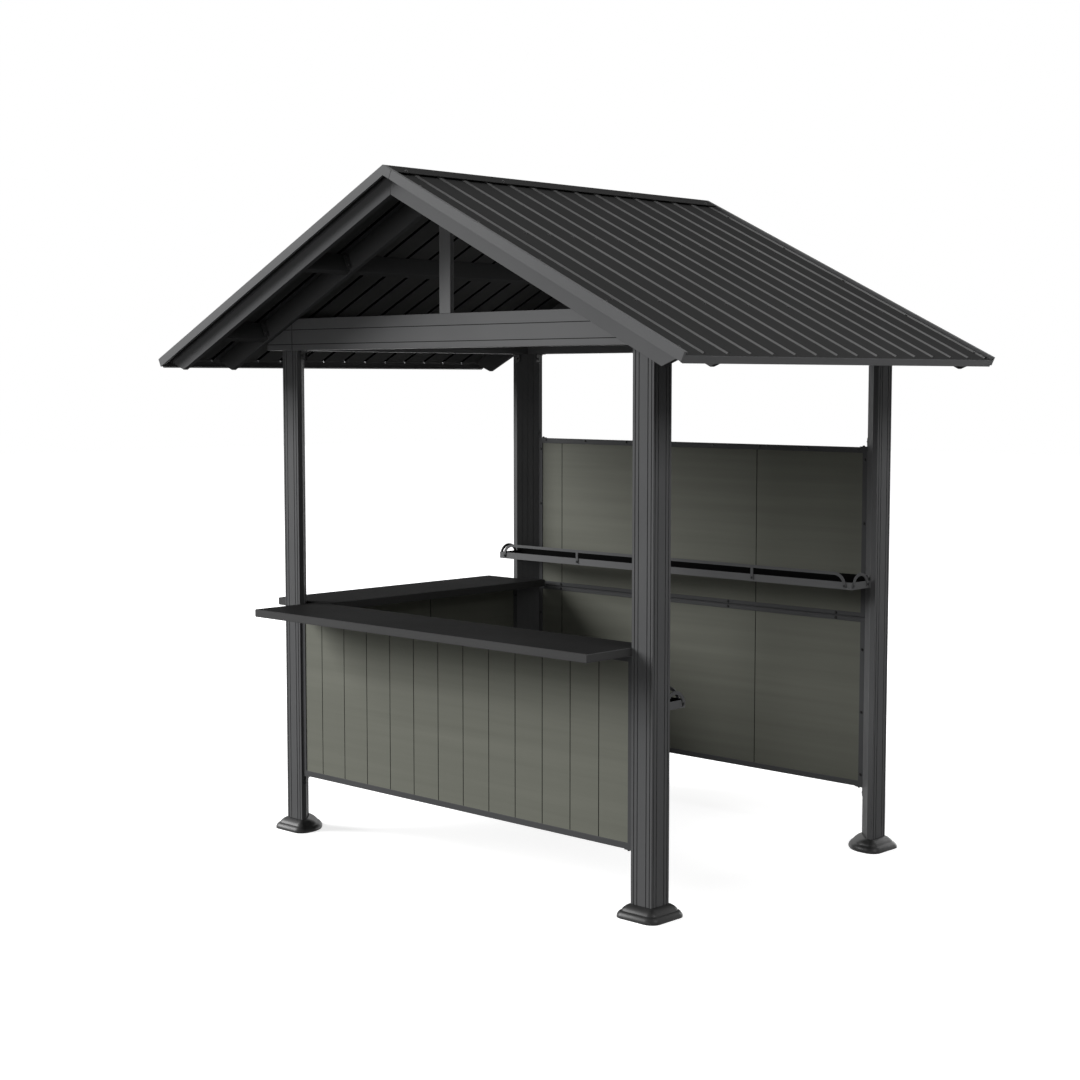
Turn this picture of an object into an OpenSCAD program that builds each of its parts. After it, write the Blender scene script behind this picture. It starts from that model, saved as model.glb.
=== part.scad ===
// Hardtop grill gazebo with bar counters: four fluted corner posts carry a beam ring and a ribbed
// steel gable roof. Low walls with counters close the front and the left, a tall wall closes the back
// and the right side is the open way in. Millimetres, +Z up, X across the gable, Y along the ridge,
// front gable at -Y. The origin is on the ground, in the middle of the roof's plan.

/* [Posts] */
// Width over the outer faces of the posts
frame_w = 2138; // [1900:1:2400]
// Depth over the outer faces of the posts
frame_d = 1548; // [1400:1:1800]
// Height of the posts
post_h = 2130; // [2000:1:2250]
// Face width of a post
post_w = 101; // [92:1:112]
// Flat return beside the diagonal inner face of a post
post_return = 24; // [20:1:30]
// Wall of the post extrusion
post_wall = 3.6; // [3.2:0.1:5]
// Width of a flute in the post faces
flute_w = 4; // [2:0.5:6]
// Depth of a flute in the post faces
flute_depth = 2.6; // [0.6:0.1:2.8]

/* [Feet] */
// Thickness of the anchor plate under a post
plate_t = 6; // [4:0.5:10]
// Reach of the anchor plate beyond the post faces
plate_margin = 32; // [26:1:36]
// Anchor bolt hole in the plate
anchor_d = 11; // [8:0.5:13]
// Height of the base cover
cover_h = 50; // [42:1:65]
// Reach of the base cover beyond the post faces
cover_margin = 50; // [44:1:60]
// Wall of the moulded base cover
cover_wall = 3; // [2:0.5:5]

/* [Beams] */
// Height of the ring beams
beam_h = 136; // [110:1:150]
// Thickness of the ring beams
beam_t = 80; // [60:1:95]
// How far the beams stand proud of the post faces
beam_proud = 28; // [16:1:36]
// How far the gable beams run past the side faces of the posts
beam_tail = 71; // [60:1:90]
// Width of the fine grooves along the beams
groove_w = 3; // [2:0.5:5]
// Depth of the fine grooves along the beams
groove_depth = 2; // [1:0.5:4]

/* [Roof frame] */
// Width over the eaves
roof_w = 3000; // [2800:1:3200]
// Roof overhang in front of the posts
front_overhang = 353; // [320:1:420]
// Roof overhang behind the posts
rear_overhang = 95; // [90:1:140]
// Height of the ridge above the ring beams
ridge_rise = 559; // [500:1:650]
// Height of the roof skin above the outer top edges of the side beams
roof_heel = 24; // [20:1:36]
// Depth of a rafter
rafter_d = 85; // [82:1:100]
// Thickness of a rafter
rafter_t = 24; // [18:1:32]
// Fly rafter behind the front roof edge
fly_setback = 39; // [25:1:60]
// Rafter tail short of the eave trim
tail_gap = 38; // [20:1:60]
// Rise of the rafter tail cut in degrees
tail_angle = 21; // [10:1:30]
// Depth of a purlin
purlin_d = 80; // [60:1:82]
// Thickness of a purlin
purlin_t = 30; // [20:1:40]
// Distance of the upper purlins from the ridge
upper_purlin_x = 577; // [450:1:750]
// Distance of the lower purlins outside the side faces of the posts
lower_purlin_out = 66; // [62:1:80]
// Width of a king post
king_w = 64; // [48:1:80]
// Thickness of a king post
king_t = 20; // [14:1:40]
// Width of the ridge beam
ridge_beam_w = 40; // [30:1:60]
// Height of the ridge beam
ridge_beam_h = 90; // [70:1:120]

/* [Roof skin] */
// Thickness of the roof sheet
sheet_t = 1.2; // [0.8:0.1:2]
// Height of a rib of the roof sheet
rib_h = 12; // [8:1:18]
// Width of a rib at its foot
rib_w = 20; // [16:1:30]
// Width of a rib at its crown
rib_crown = 10; // [6:1:14]
// Spacing of the ribs
rib_pitch = 130; // [100:1:160]
// First rib behind the front roof edge
first_rib = 134; // [100:1:160]
// Closed ends of the ribs short of the eave
rib_stop = 16; // [10:1:40]
// Thickness of the trims and the ridge cap
trim_t = 1.5; // [1:0.1:2.5]
// Face height of the rake trims
trim_h = 36; // [30:1:48]
// Face height of the eave trims below the sheet
eave_h = 27; // [20:1:40]
// Width of the top of a rake trim
rake_flange = 18; // [12:1:40]
// Return along the lower edge of the trims
trim_return = 12; // [8:1:20]
// Flange of the eave trim under the sheet
eave_flange = 30; // [20:1:36]
// Width of each leaf of the ridge cap
cap_w = 68; // [50:1:100]

/* [Walls] */
// Ground to the lower edge of the walls
wall_bottom = 250; // [200:1:300]
// Height of one wall panel
wall_h = 733; // [650:1:780]
// Thickness of the walls
wall_t = 16; // [12:1:20]
// Walls behind the outer faces of the posts
wall_setback = 8; // [4:1:14]
// Width of the wall frame bars
bar_w = 24; // [18:1:32]
// Width of the two bars where the tiers of the back wall meet
meeting_bar = 17; // [12:1:24]
// Gap between the tiers of the back wall
tier_gap = 6; // [2:1:12]
// Infill behind the faces of its frame
panel_inset = 3; // [2:0.5:4]
// Width of the planks on the outer face
plank_pitch = 148; // [120:1:200]
// Width of the sheets on the inner face
sheet_pitch = 597; // [450:1:700]
// Width of the first sheet on the inner face
first_sheet = 587; // [450:1:700]
// Width of the seams between planks
seam_w = 4; // [2:0.5:7]
// Depth of the seams between planks
seam_depth = 1.6; // [0.8:0.1:2]
// Leg of the angle brackets that fix the walls to the posts
bracket_leg = 40; // [30:1:50]
// Thickness of the angle brackets
bracket_t = 3; // [2:0.5:5]

/* [Counters] */
// Depth of a counter board
counter_depth = 348; // [300:1:400]
// Thickness of a counter board
counter_t = 33; // [25:1:45]
// How far the left counter stands out beyond the posts
left_counter_out = 177; // [140:1:220]
// How far the inner strip of the left counter runs past the face of the back post
left_counter_run = 48; // [20:1:60]
// Small bevel along the counter edges
counter_bevel = 2; // [1:0.5:4]

/* [Shelves] */
// Top of the shelf at the back wall
upper_shelf_z = 1158; // [1100:1:1400]
// Top of the shelf at the front wall
lower_shelf_z = 802; // [600:1:850]
// Depth of a shelf tray
shelf_depth = 126; // [110:1:160]
// Shelf ends inside the outer faces of the posts
shelf_inset = 32; // [31:1:45]
// Height of the folded shelf edge
shelf_lip = 31; // [26:1:45]
// Sheet thickness of the shelves
shelf_t = 2; // [1.5:0.5:4]
// Height of the shelf rail above the shelf
rail_h = 41; // [40:1:70]
// Rail legs inside the ends of the shelf
rail_inset = 28; // [10:1:40]
// Bend radius of the shelf rail
rail_bend = 58; // [30:1:60]
// Height of the end hoops above the shelf
hoop_h = 38; // [36:1:60]
// Span of the end hoops
hoop_span = 114; // [96:1:120]
// Bend radius of the end hoops
hoop_bend = 55; // [30:1:57]
// Width of the flat bar of the rails
flat_w = 13; // [10:1:18]
// Thickness of the flat bar of the rails
flat_t = 4; // [3:0.5:6]
// How far the rail ends run down over the shelf edge
rail_lap = 22; // [20:1:24]

/* [Hidden] */

// Finishes
charcoal = "#3a3b3c";
dark_charcoal = "#232425";
olive_grey = "#6a6b5f";
galvanised = "#8d9092";

// Clearance between pieces that are fitted but not drawn tight
fit = 0.3;

// Plan of the frame
post_x = frame_w / 2;
frame_y = (front_overhang - rear_overhang) / 2;
front_y = frame_y - frame_d / 2;
back_y = frame_y + frame_d / 2;
inner_x = post_x - post_w;
inner_front_y = front_y + post_w;
inner_back_y = back_y - post_w;

// Beam ring
beam_front_y = front_y - beam_proud;
beam_back_y = back_y + beam_proud;
beam_side_x = post_x + beam_proud;
beam_top = post_h + beam_h;
ridge_h = beam_top + ridge_rise;
slope = atan((ridge_rise - roof_heel) / beam_side_x);

// Roof in slope coordinates: u runs down the slope from the ridge, n stands square to it.
// The top of the rafters and purlins, where the sheets lie, is n = 0.
roof_front = -(frame_d + front_overhang + rear_overhang) / 2;
roof_back = -roof_front;
pan_top = fit + sheet_t;
rib_top = pan_top + rib_h;
skin_top = rib_top + trim_t;
apex_z = ridge_h - skin_top / cos(slope);
eave_u = (roof_w / 2 - skin_top * sin(slope)) / cos(slope);
trim_foot = skin_top - trim_h;
ridge_gap = rib_top * tan(slope) + sheet_t;

// Rafter planes
fly_y = roof_front + fly_setback;
front_rafter_y = beam_front_y - rafter_t;
back_rafter_y = beam_back_y;
tail_u = eave_u - tail_gap;
tail_rise = rafter_d + trim_foot;
tail_run = tail_rise / tan(slope + tail_angle);

// Walls
wall_top = wall_bottom + wall_h;
wall_front_y = front_y + wall_setback;
wall_back_y = back_y - wall_setback;
wall_left_x = -post_x + wall_setback;
front_wall_len = 2 * inner_x;
side_wall_len = frame_d - 2 * post_w;
upper_wall_h = wall_h - tier_gap;

// Counters and shelves
counter_top = wall_top + counter_t;
shelf_end = post_x - shelf_inset;

// Corner posts: pentagon extrusion with the inner corner cut at 45 degrees. In the corner's own plan the
// outer corner is at the origin and the post fills +x and +y. "grow" moves every face outwards.
function post_plan(grow) =
    let (far = post_w + grow, near = post_return + grow * (sqrt(2) - 1))
    [[-grow, -grow], [far, -grow], [far, near], [near, far], [-grow, far]];

module at_corner(side_x, side_y) {
    translate([side_x * post_x, frame_y + side_y * frame_d / 2, 0])
        mirror([max(side_x, 0), 0, 0])
            mirror([0, max(side_y, 0), 0])
                children();
}

module outer_flutes() {
    for (share = [0.1, 0.27, 0.7, 0.87])
        translate([share * post_w - flute_w / 2, -flute_depth])
            square([flute_w, 2 * flute_depth]);
}

module post_section() {
    diagonal = (post_w - post_return) * sqrt(2);
    difference() {
        polygon(post_plan(0));
        polygon(post_plan(-post_wall));
        outer_flutes();
        mirror([1, -1])
            outer_flutes();
        translate([post_return, post_w])
            rotate(-45)
                for (share = [0.25, 0.5, 0.75])
                    translate([share * diagonal - flute_w / 2, -flute_depth])
                        square([flute_w, 2 * flute_depth]);
    }
}

module post(side_x, side_y) {
    color(charcoal)
        at_corner(side_x, side_y)
            translate([0, 0, plate_t])
                linear_extrude(post_h - plate_t)
                    post_section();
}

// Anchor plates: flat steel under each post, with a bolt hole in each of the three reachable corners.
module anchor_plate() {
    hole = -plate_margin / 2;
    reach = post_w - post_return;
    linear_extrude(plate_t)
        difference() {
            polygon(post_plan(plate_margin));
            for (p = [[hole, hole], [reach, hole], [hole, reach]])
                translate(p)
                    circle(d = anchor_d, $fn = 32);
        }
}

module anchor_plates() {
    color(galvanised)
        for (side_x = [-1, 1], side_y = [-1, 1])
            at_corner(side_x, side_y)
                anchor_plate();
}

// Base covers: moulded shells lofted through rings of the post's plan with softened corners. Each ring
// is [height, growth]: a straight lip, a rounded band, a small step and a slope up to the post.
ring_steps = 6;

function softened(prev, corner, next, r) =
    let (a = corner + r * (prev - corner) / norm(prev - corner),
         b = corner + r * (next - corner) / norm(next - corner))
    [for (i = [0 : ring_steps])
        let (t = i / ring_steps)
        (1 - t) * (1 - t) * a + 2 * t * (1 - t) * corner + t * t * b];

function cover_plan(grow) =
    let (far = post_w + grow, near = post_return + 0.8 * grow)
    [[-grow, -grow], [far, -grow], [far, near], [near, far], [-grow, far]];

function soft_ring(grow) =
    let (plan = cover_plan(grow), count = len(plan), r = max(grow, fit) * 0.7)
    [for (i = [0 : count - 1])
        each softened(plan[(i + count - 1) % count], plan[i], plan[(i + 1) % count], r)];

function cover_rings() =
    let (lip = 0.18, band = 0.5, step = 0.1)
    concat(
        [[0, cover_margin], [lip * cover_h, cover_margin]],
        [for (a = [30, 60, 90])
            [(lip + (band - lip) * sin(a)) * cover_h, cover_margin * (0.74 + 0.26 * cos(a))]],
        [[band * cover_h, cover_margin * (0.74 - step)],
         [cover_h, cover_wall + fit],
         [cover_h, fit],
         [band * cover_h, cover_margin * (0.74 - step) - cover_wall],
         [lip * cover_h, cover_margin - cover_wall],
         [0, cover_margin - cover_wall]]);

module lofted(rings) {
    count = len(rings);
    size = len(soft_ring(1));
    points = [for (r = rings, p = soft_ring(r[1])) [p[0], p[1], r[0]]];
    faces = [for (k = [0 : count - 1], i = [0 : size - 1])
        let (j = (i + 1) % size, m = (k + 1) % count)
        each [[k * size + i, m * size + j, k * size + j], [k * size + i, m * size + i, m * size + j]]];
    polyhedron(points, faces);
}

module base_cover(side_x, side_y) {
    color(dark_charcoal)
        at_corner(side_x, side_y)
            lofted(cover_rings());
}

// Ring beams: the gable beams run past the posts, with their ends cut to the roof slope, and carry the
// lower purlins; the side beams butt between them. Two fine grooves run along every outer face.
module beam(length, seams) {
    difference() {
        translate([-length / 2, 0, 0])
            cube([length, beam_t, beam_h]);
        for (share = [0.19, 0.65])
            translate([-length / 2 - 1, -1, share * beam_h - groove_w / 2])
                cube([length + 2, 1 + groove_depth, groove_w]);
        for (x = seams)
            translate([x - groove_w / 2, -1, -1])
                cube([groove_w, 1 + groove_depth, beam_h + 2]);
    }
}

module gable_beam(side) {
    color(charcoal)
        difference() {
            translate([0, side < 0 ? beam_front_y : beam_back_y, post_h])
                mirror([0, max(side, 0), 0])
                    beam(2 * (post_x + beam_tail), [-inner_x, inner_x]);
            for (slope_side = [-1, 1])
                on_slope(slope_side)
                    translate([0, roof_front, -fit])
                        cube([eave_u, roof_back - roof_front, beam_h]);
        }
}

module side_beam(side) {
    color(charcoal)
        translate([side * beam_side_x, frame_y, post_h])
            rotate(side * 90)
                beam(beam_back_y - beam_front_y - 2 * beam_t, []);
}

// Roof placement
function roof_point(u, n) =
    [u * cos(slope) + n * sin(slope), apex_z - u * sin(slope) + n * cos(slope)];
function ridge_drop(x) = apex_z - abs(x) * tan(slope);

module on_side(side) {
    mirror([side < 0 ? 1 : 0, 0, 0])
        children();
}

module on_slope(side) {
    on_side(side)
        translate([0, 0, apex_z])
            rotate([0, slope, 0])
                children();
}

// Draws a profile of x and z as a bar that starts at y and runs along +Y
module along_ridge(y, length) {
    translate([0, y + length, 0])
        rotate([90, 0, 0])
            linear_extrude(length)
                children();
}

// Draws a profile of y and n as a strip that runs down the slope from u
module down_slope(u, length) {
    translate([u, 0, 0])
        rotate([90, 0, 90])
            linear_extrude(length)
                children();
}

// Rafters: flat box sections that meet plumb at the ridge, with a raking cut at the tail.
module rafter(side, y) {
    color(charcoal)
        on_side(side)
            along_ridge(y, rafter_t)
                polygon([
                    [0, apex_z],
                    [0, apex_z - rafter_d / cos(slope)],
                    roof_point(tail_u - tail_run, -rafter_d),
                    roof_point(tail_u, trim_foot),
                    roof_point(tail_u, 0)]);
}

// King posts stand on the gable beams behind the rafters, with their tops cut to both slopes.
module king_post(y) {
    color(charcoal)
        along_ridge(y, king_t)
            polygon([
                [-king_w / 2, beam_top],
                [king_w / 2, beam_top],
                [king_w / 2, ridge_drop(king_w / 2)],
                [0, apex_z],
                [-king_w / 2, ridge_drop(king_w / 2)]]);
}

module ridge_beam() {
    start = beam_front_y + king_t;
    color(charcoal)
        along_ridge(start, beam_back_y - king_t - start)
            polygon([
                [-ridge_beam_w / 2, apex_z - ridge_beam_h],
                [ridge_beam_w / 2, apex_z - ridge_beam_h],
                [ridge_beam_w / 2, ridge_drop(ridge_beam_w / 2)],
                [0, apex_z],
                [-ridge_beam_w / 2, ridge_drop(ridge_beam_w / 2)]]);
}

// Purlins lie square to the slope between the rafters and beams, with short ones in the front bay.
module purlin(x, from_y, to_y) {
    mid = (x + purlin_d / 2 * sin(slope)) / cos(slope);
    translate([mid - purlin_t / 2, from_y, -purlin_d])
        cube([purlin_t, to_y - from_y, purlin_d]);
}

module purlins(side) {
    lower_x = post_x + lower_purlin_out;
    color(charcoal)
        on_slope(side) {
            for (x = [upper_purlin_x, lower_x])
                purlin(x, fly_y + rafter_t, front_rafter_y);
            purlin(upper_purlin_x, beam_front_y, beam_back_y);
            purlin(lower_x, beam_front_y + beam_t, beam_back_y - beam_t);
        }
}

// Roof sheets: one thin skin a side, pressed into narrow ribs that run from the ridge and are closed
// just short of the eave.
rib_count = floor((roof_back - roof_front - first_rib - rake_flange - rib_w) / rib_pitch) + 1;

function rib_outline(n, inset) =
    [for (i = [0 : rib_count - 1])
        let (y = roof_front + first_rib + i * rib_pitch,
             foot = rib_w / 2 - inset, crown = rib_crown / 2 - inset)
        each [[y - foot, n], [y - crown, n + rib_h], [y + crown, n + rib_h], [y + foot, n]]];

function reversed(list) = [for (i = [len(list) - 1 : -1 : 0]) list[i]];

module roof_sheet(side) {
    edge = roof_back - trim_t - fit;
    end = eave_u - trim_t - fit;
    color(dark_charcoal)
        on_slope(side)
            union() {
                down_slope(ridge_gap, end - rib_stop - ridge_gap)
                    polygon(concat(
                        [[-edge, fit], [-edge, pan_top]], rib_outline(pan_top, 0),
                        [[edge, pan_top], [edge, fit]], reversed(rib_outline(fit, sheet_t / 2))));
                down_slope(end - rib_stop, sheet_t)
                    polygon(concat([[-edge, fit], [-edge, pan_top]], rib_outline(pan_top, 0),
                        [[edge, pan_top], [edge, fit]]));
                translate([end - rib_stop, -edge, fit])
                    cube([rib_stop, 2 * edge, sheet_t]);
            }
}

// Ridge cap: a folded strip on the crowns of the ribs, between the rake trims.
module ridge_cap() {
    start = roof_front + rake_flange + fit;
    top = ridge_h;
    under = ridge_h - trim_t / cos(slope);
    edge = cap_w * cos(slope);
    lip_x = trim_t * sin(slope);
    lip_z = trim_t * cos(slope);
    foot_z = top - cap_w * sin(slope);
    color(charcoal)
        along_ridge(start, -2 * start)
            polygon([
                [0, top], [edge, foot_z], [edge - lip_x, foot_z - lip_z],
                [0, under], [lip_x - edge, foot_z - lip_z], [-edge, foot_z]]);
}

// Rake trims: folded channels over the sheet ends, closed by a tab at the eave. The left one wraps over
// the ridge and ends at a seam on the right slope, square to that slope.
module rake_section() {
    difference() {
        translate([roof_front, trim_foot])
            square([rake_flange, trim_h]);
        translate([roof_front + trim_t, trim_foot + trim_t])
            square([rake_flange - 2 * trim_t, trim_h - 2 * trim_t]);
        translate([roof_front + trim_return, trim_foot - 1])
            square([rake_flange, pan_top + 1 - trim_foot]);
    }
}

module rake_leaf(side) {
    reach = trim_h * tan(slope);
    intersection() {
        on_slope(side) {
            down_slope(-reach, eave_u + reach)
                rake_section();
            down_slope(eave_u - trim_t, trim_t)
                translate([roof_front, trim_foot])
                    square([trim_return, trim_h]);
        }
        translate([side < 0 ? -roof_w : 0, roof_front - 1, 0])
            cube([roof_w, rake_flange + 2, 2 * ridge_h]);
    }
}

module seam_side(side) {
    seam_u = 48;
    span = 2 * roof_w;
    on_slope(1)
        translate([side < 0 ? seam_u - span : seam_u, roof_front - 1, -span / 2])
            cube([span, rake_flange + 2, span]);
}

module rake_trim(side, end) {
    color(charcoal)
        mirror([0, end < 0 ? 0 : 1, 0])
            if (side < 0)
                union() {
                    rake_leaf(-1);
                    intersection() {
                        rake_leaf(1);
                        seam_side(-1);
                    }
                }
            else
                intersection() {
                    rake_leaf(1);
                    seam_side(1);
                }
}

// Eave trims: folded fascia strips that close the lower edge of the sheet, with a flange under the sheet
// and a short return below.
module eave_trim(side) {
    half = roof_back - trim_return - fit;
    color(charcoal)
        on_slope(side)
            along_ridge(-half, 2 * half)
                union() {
                    translate([eave_u - trim_t, -eave_h])
                        square([trim_t, pan_top + eave_h]);
                    translate([eave_u - eave_flange, -trim_t])
                        square([eave_flange, trim_t]);
                    translate([eave_u - trim_return, -eave_h])
                        square([trim_return, trim_t]);
                }
}

// Walls: each is a bar frame with angle brackets to the posts and an infill with plank seams outside
// and wider sheet joints inside. Drawn along x from its middle, outer face at y = 0, lower edge at z = 0.
module wall_frame(length, height, foot_bar, head_bar, brackets) {
    color(charcoal) {
        difference() {
            translate([-length / 2, 0, 0])
                cube([length, wall_t, height]);
            translate([-length / 2 + bar_w, -1, foot_bar])
                cube([length - 2 * bar_w, wall_t + 2, height - foot_bar - head_bar]);
        }
        for (side = [-1, 1], z = brackets)
            translate([side * length / 2, 0, z])
                mirror([max(side, 0), 0, 0])
                    mirror([0, 0, z > 0 ? 0 : 1])
                        union() {
                            cube([bracket_t, wall_t, bracket_leg]);
                            cube([bracket_leg, wall_t, bracket_t]);
                        }
    }
}

module wall_panel(length, height, foot_bar, head_bar) {
    width = length - 2 * bar_w;
    thick = wall_t - 2 * panel_inset;
    clear = height - foot_bar - head_bar;
    color(olive_grey)
        translate([width / 2, panel_inset, foot_bar])
            difference() {
                translate([-width, 0, 0])
                    cube([width, thick, clear]);
                for (x = [plank_pitch : plank_pitch : width - seam_w])
                    translate([-x - seam_w / 2, -1, -1])
                        cube([seam_w, 1 + seam_depth, clear + 2]);
                for (x = [first_sheet - bar_w : sheet_pitch : width - seam_w])
                    translate([-x - seam_w / 2, thick - seam_depth, -1])
                        cube([seam_w, 1 + seam_depth, clear + 2]);
            }
}

// Tongue on the lower tier of the back wall that carries the upper one and closes the gap from outside.
module tier_tongue() {
    bite = wall_t / 4;
    color(charcoal)
        translate([-front_wall_len / 2, 0, wall_h - bite])
            cube([front_wall_len, wall_t / 2, tier_gap + bite]);
}

module front_wall() {
    translate([0, wall_front_y, wall_bottom])
        children();
}

module left_wall() {
    translate([wall_left_x, frame_y, wall_bottom])
        rotate(-90)
            children();
}

module back_wall(tier) {
    translate([0, wall_back_y, wall_bottom + tier * (wall_h + tier_gap)])
        mirror([0, 1, 0])
            children();
}

// Counters: boards on the wall tops. The front one lies between the posts; the left one stands further
// in, meets it at the corner and runs on past the back post.
module board(plan, thick) {
    translate([0, 0, counter_bevel])
        linear_extrude(thick - 2 * counter_bevel)
            polygon(plan);
    for (z = [0, thick - counter_bevel])
        translate([0, 0, z])
            linear_extrude(counter_bevel)
                offset(delta = -counter_bevel / 2)
                    polygon(plan);
}

module front_counter() {
    half = inner_x - fit;
    color(dark_charcoal)
        translate([0, 0, wall_top])
            board([
                [-half, inner_front_y - counter_depth], [half, inner_front_y - counter_depth],
                [half, inner_front_y], [-half, inner_front_y]], counter_t);
}

module left_counter() {
    outer = -post_x - left_counter_out;
    inner = outer + counter_depth;
    start = inner_front_y + fit;
    notch = inner_back_y - fit;
    end = inner_back_y + left_counter_run;
    color(dark_charcoal)
        translate([0, 0, wall_top])
            board([
                [outer, start], [inner, start], [inner, end],
                [fit - inner_x, end], [fit - inner_x, notch], [outer, notch]], counter_t);
}

// Shelves: open folded trays between the posts, with a folded bracket at each end that meets the
// diagonal of the post. Drawn with the inner faces of the posts at y = 0 and the room at -y.
module shelf_bracket() {
    corner = post_x - post_return - fit * sqrt(2);
    translate([corner - bracket_leg, -bracket_t])
        square([bracket_leg - bracket_t, bracket_t]);
    translate([corner, 0])
        rotate(135)
            square([bracket_leg, bracket_t]);
}

module shelf() {
    width = 2 * shelf_end;
    color(dark_charcoal)
        translate([0, 0, -shelf_lip]) {
            difference() {
                translate([-shelf_end, -shelf_depth - bracket_t, 0])
                    cube([width, shelf_depth, shelf_lip]);
                translate([shelf_t - shelf_end, shelf_t - shelf_depth - bracket_t, shelf_t])
                    cube([width - 2 * shelf_t, shelf_depth - 2 * shelf_t, shelf_lip]);
            }
            linear_extrude(shelf_lip)
                for (side = [0, 1])
                    mirror([side, 0])
                        shelf_bracket();
        }
}

// Flat bar bent into a gate: two legs with a straight bar between them, rounded at both bends.
function gate_edge(span, height, r) =
    [for (a = [180 : -15 : 90]) [r - span / 2 + r * cos(a), height - r + r * sin(a)]];

function gate_path(span, height, r) =
    let (left = gate_edge(span, height, r))
    concat([[-span / 2, 0]], left, [for (p = reversed(left)) [-p[0], p[1]]], [[span / 2, 0]]);

module gate(span, height, bend, uprights) {
    rotate([90, 0, 0])
        linear_extrude(flat_t) {
            polygon(concat(
                gate_path(span, height, bend),
                reversed(gate_path(span - 2 * flat_w, height - flat_w, bend - flat_w))));
            for (x = uprights)
                translate([x - flat_w / 2, 0])
                    square([flat_w, height - flat_w / 2]);
        }
}

module shelf_rails() {
    front = -shelf_depth - bracket_t;
    color(charcoal) {
        translate([0, front, -rail_lap])
            gate(2 * (shelf_end - rail_inset), rail_h + rail_lap, rail_bend,
                 [-shelf_end / 2, 0, shelf_end / 2]);
        for (side = [-1, 1])
            translate([side * shelf_end, front + shelf_depth / 2, -rail_lap])
                rotate(side * 90)
                    gate(hoop_span, hoop_h + rail_lap, hoop_bend, []);
    }
}

module at_back_wall() {
    translate([0, inner_back_y, upper_shelf_z])
        children();
}

module at_front_wall() {
    translate([0, inner_front_y, lower_shelf_z])
        mirror([0, 1, 0])
            children();
}

post(-1, -1);  // front_left_post
post(1, -1);  // front_right_post
post(-1, 1);  // back_left_post
post(1, 1);  // back_right_post
anchor_plates();
base_cover(-1, -1);  // front_left_base_cover
base_cover(1, -1);  // front_right_base_cover
base_cover(-1, 1);  // back_left_base_cover
base_cover(1, 1);  // back_right_base_cover
gable_beam(-1);  // front_beam
gable_beam(1);  // back_beam
side_beam(-1);  // left_beam
side_beam(1);  // right_beam
rafter(-1, fly_y);  // fly_rafter_left
rafter(1, fly_y);  // fly_rafter_right
rafter(-1, front_rafter_y);  // front_rafter_left
rafter(1, front_rafter_y);  // front_rafter_right
rafter(-1, back_rafter_y);  // back_rafter_left
rafter(1, back_rafter_y);  // back_rafter_right
king_post(beam_front_y);  // front_king_post
king_post(beam_back_y - king_t);  // back_king_post
ridge_beam();
purlins(-1);  // left_purlins
purlins(1);  // right_purlins
roof_sheet(-1);  // roof_sheet_left
roof_sheet(1);  // roof_sheet_right
ridge_cap();
rake_trim(-1, -1);  // front_rake_trim_left
rake_trim(1, -1);  // front_rake_trim_right
rake_trim(-1, 1);  // back_rake_trim_left
rake_trim(1, 1);  // back_rake_trim_right
eave_trim(-1);  // eave_trim_left
eave_trim(1);  // eave_trim_right
front_wall() wall_frame(front_wall_len, wall_h, bar_w, bar_w, [0]);  // front_wall_frame
front_wall() wall_panel(front_wall_len, wall_h, bar_w, bar_w);  // front_wall_panel
left_wall() wall_frame(side_wall_len, wall_h, bar_w, bar_w, [0]);  // left_wall_frame
left_wall() mirror([1, 0, 0]) wall_panel(side_wall_len, wall_h, bar_w, bar_w);  // left_wall_panel
back_wall(0) {  // back_wall_lower_frame
        wall_frame(front_wall_len, wall_h, bar_w, meeting_bar, [0]);
        tier_tongue();
    }
back_wall(0) wall_panel(front_wall_len, wall_h, bar_w, meeting_bar);  // back_wall_lower_panel
back_wall(1) wall_frame(front_wall_len, upper_wall_h, meeting_bar, bar_w, [upper_wall_h]);  // back_wall_upper_frame
back_wall(1) wall_panel(front_wall_len, upper_wall_h, meeting_bar, bar_w);  // back_wall_upper_panel
front_counter();
left_counter();
at_back_wall() shelf();  // upper_shelf
at_back_wall() shelf_rails();  // upper_shelf_rails
at_front_wall() shelf();  // lower_shelf
at_front_wall() shelf_rails();  // lower_shelf_rails
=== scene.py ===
import math

import bmesh
import bpy
from mathutils import Euler, Matrix, Vector


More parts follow.
